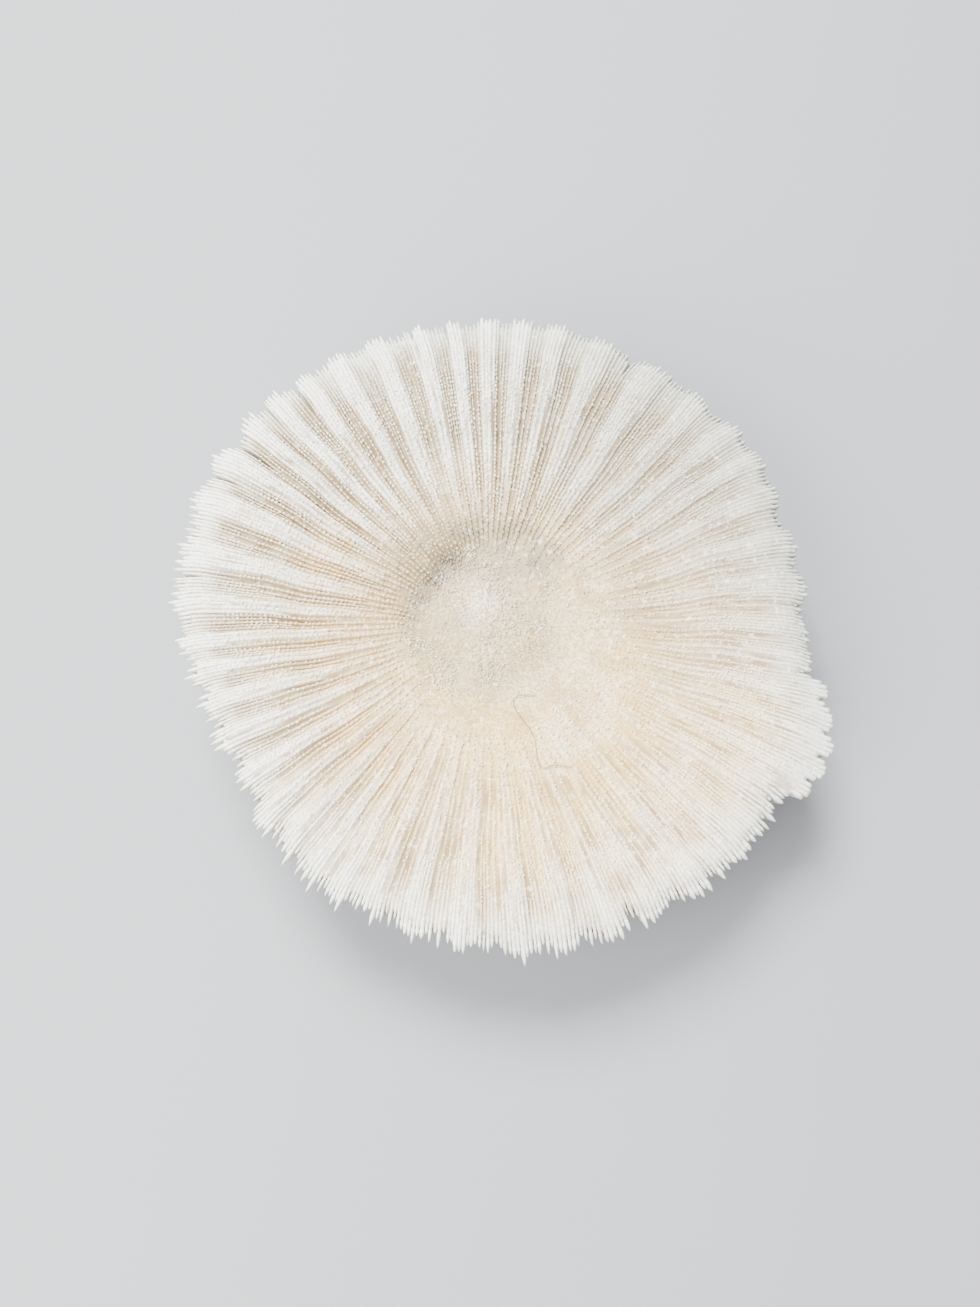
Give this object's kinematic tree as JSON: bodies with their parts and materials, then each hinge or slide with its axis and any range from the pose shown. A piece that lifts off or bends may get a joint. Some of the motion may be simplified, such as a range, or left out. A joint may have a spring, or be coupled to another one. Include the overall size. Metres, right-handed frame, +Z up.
{
  "type": "mushroom coral skeleton",
  "caption": "Round skeleton of a single free-living stony coral, lying on its domed mouth side, with a central scar, radiating ribs and a thin toothed margin.",
  "frame": {"origin": "middle of the coral's box, on the surface that it rests on", "axes": "+Z up, out of the ribbed underside that faces up; the scar lies a little towards -X and -Y, and -Y is the side seen from the front"},
  "size_m": [0.1248, 0.128, 0.031],
  "materials": {
    "coral": "matte, chalky, bleached white with cream and light brown stain in the hollows"
  },
  "bodies": {
    "root": {"coral": "coral"}
  },
  "joints": []
}
